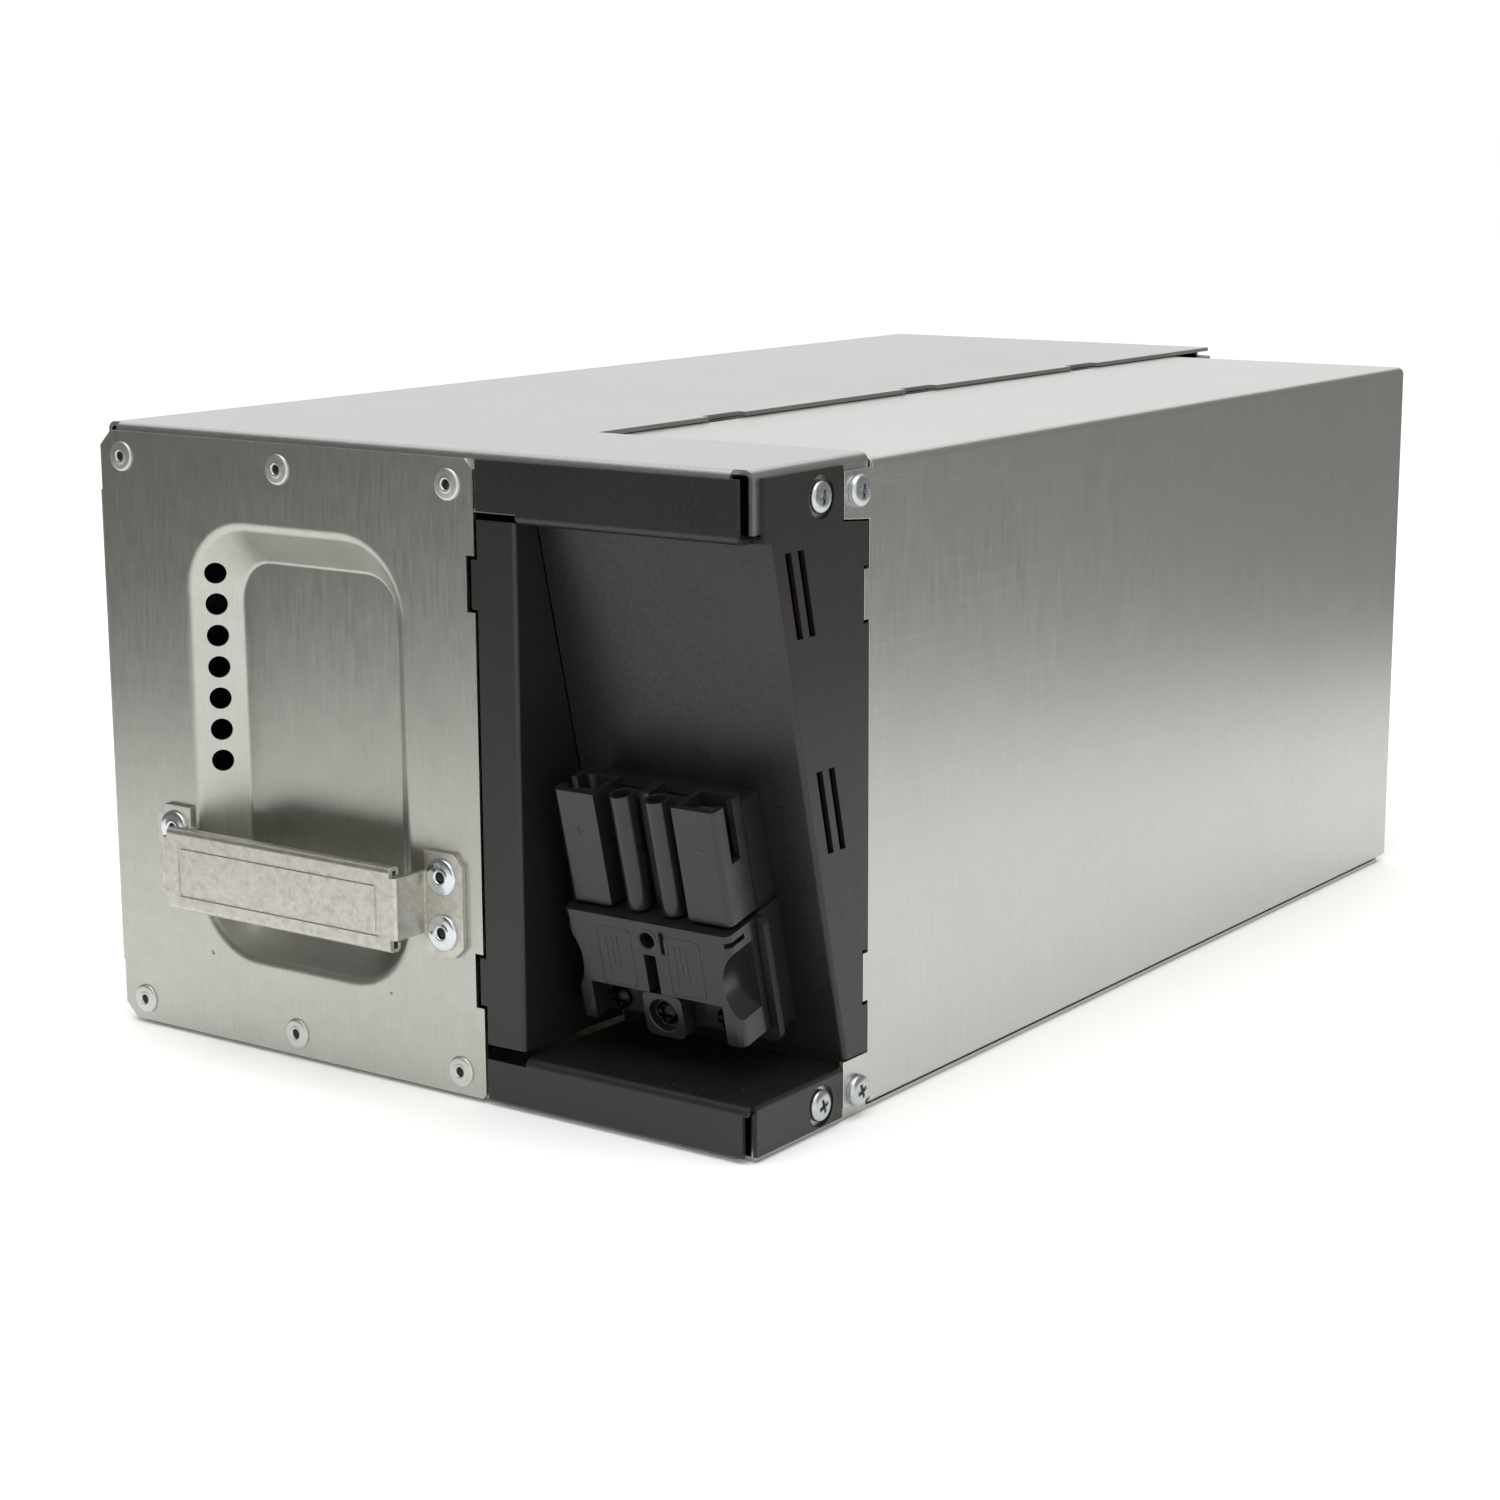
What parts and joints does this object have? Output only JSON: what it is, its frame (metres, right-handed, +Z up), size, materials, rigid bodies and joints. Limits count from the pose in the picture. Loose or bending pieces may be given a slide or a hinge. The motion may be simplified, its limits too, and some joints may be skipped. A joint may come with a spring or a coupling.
{
  "type": "rack battery cartridge",
  "caption": "Sheet-steel rack battery cartridge with a riveted front plate, fixed strap handle, black connector bay and sliding power plug.",
  "frame": {"origin": "centre of the base, on the underside of the case", "axes": "+Z up, +Y towards the rear along the cartridge's length, +X to the right as seen from the front"},
  "size_m": [0.2149, 0.4074, 0.165],
  "materials": {
    "zinc_sheet": "zinc-coated sheet steel, satin, fine rolling grain",
    "zinc_plate": "zinc-coated plate, vertical grain, satin",
    "zinc_bright": "zinc-plated strap, lightly mottled",
    "black_sheet": "black powder coat, fine texture",
    "rivet_steel": "plated steel, bright",
    "screw_steel": "clear zinc plate, bright",
    "screw_dark": "dark zinc plate",
    "dock_plastic": "black moulding, semi-matt",
    "plug_plastic": "black moulding, satin gloss",
    "contact_metal": "tinned copper alloy",
    "block_plastic": "dark ABS, lightly grained",
    "jumper_cover": "black insulated link",
    "lead_red": "red insulation, satin",
    "lead_black": "black insulation, satin",
    "liner": "off-white fibre sheet",
    "film": "translucent polypropylene film",
    "foam": "dark closed-cell foam"
  },
  "bodies": {
    "case": {"case_shell": "zinc_sheet", "front_plate": "zinc_plate", "bay_panel": "black_sheet", "bay_left_wall": "black_sheet", "rear_panel": "zinc_sheet", "handle": "zinc_bright", "plate_rivets": "rivet_steel", "rear_rivets": "rivet_steel", "handle_rivets": "rivet_steel", "bay_screws": "screw_steel", "connector_dock": "dock_plastic", "guide_boss": "plug_plastic", "guide_screw": "screw_dark", "dock_screws": "screw_steel", "dock_studs": "contact_metal", "battery_left_1": "block_plastic", "battery_left_2": "block_plastic", "battery_left_3": "block_plastic", "battery_left_4": "block_plastic", "battery_right_1": "block_plastic", "battery_right_2": "block_plastic", "battery_right_3": "block_plastic", "battery_right_4": "block_plastic", "battery_terminals": "contact_metal", "series_jumpers": "jumper_cover", "lead_positive": "lead_red", "lead_negative": "lead_black", "base_liner": "liner", "top_film": "film", "front_stop": "liner", "rear_foam": "foam"},
    "cover": {"service_cover": "zinc_sheet", "cover_screws": "screw_steel"},
    "plug": {"plug_housing": "plug_plastic", "plug_grip": "plug_plastic", "plug_screws": "screw_dark", "plug_contacts": "contact_metal"}
  },
  "joints": [
    {"name": "service_cover", "type": "slide", "parent": "case", "child": "cover", "axis": [1, 0, 0], "range_m": [0, 0.13]},
    {"name": "plug_slide", "type": "slide", "parent": "case", "child": "plug", "axis": [0, -0.2334, 0.9724], "range_m": [0, 0.012]}
  ]
}
